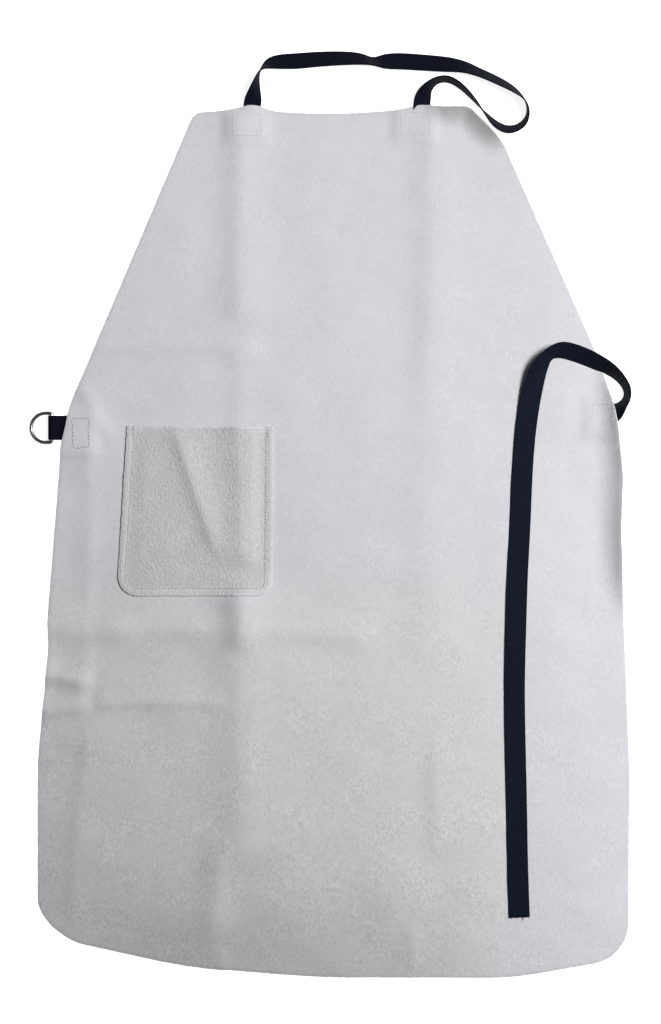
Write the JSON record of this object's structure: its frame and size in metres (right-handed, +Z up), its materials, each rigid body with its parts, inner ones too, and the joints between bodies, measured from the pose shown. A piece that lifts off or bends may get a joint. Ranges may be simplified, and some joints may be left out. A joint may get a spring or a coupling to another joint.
{
  "type": "split leather work apron",
  "caption": "Bib work apron of split leather lying flat, with a patch pocket, a webbing neck strap, a waist tie and a D-ring that swings in its webbing tab.",
  "frame": {"origin": "on the surface that the apron lies on, under the middle of the box of the leather and the D-ring", "axes": "+Z up out of the leather's face, +Y from the hem to the neck, +X towards the side with the waist tie, which is the wearer's left"},
  "size_m": [0.6193, 0.9535, 0.0201],
  "materials": {
    "split_leather": "matte napped split leather, pale grey",
    "pocket_leather": "matte rough split leather, slightly darker grey",
    "patch_leather": "matte napped split leather, grey",
    "thread": "twisted sewing thread, pale grey",
    "webbing": "woven cotton tape, navy black",
    "ring_steel": "darkened nickel-plated steel wire"
  },
  "bodies": {
    "apron": {"apron_panel": "split_leather", "pocket": "pocket_leather", "neck_left_patch": "patch_leather", "neck_right_patch": "patch_leather", "waist_patch": "patch_leather", "d_ring_patch": "patch_leather", "pocket_seam": "thread", "pocket_bar_tacks": "thread", "neck_left_seam": "thread", "neck_right_seam": "thread", "waist_seam": "thread", "d_ring_seam": "thread", "neck_strap": "webbing", "waist_tie": "webbing", "d_ring_tab": "webbing"},
    "d_ring": {"d_ring": "ring_steel"}
  },
  "joints": [
    {"name": "d_ring_swing", "type": "hinge", "parent": "apron", "child": "d_ring", "pos_m": [-0.2855, 0.1165, 0.0037], "axis": [0, 1, 0], "range_deg": [0, 150]}
  ]
}
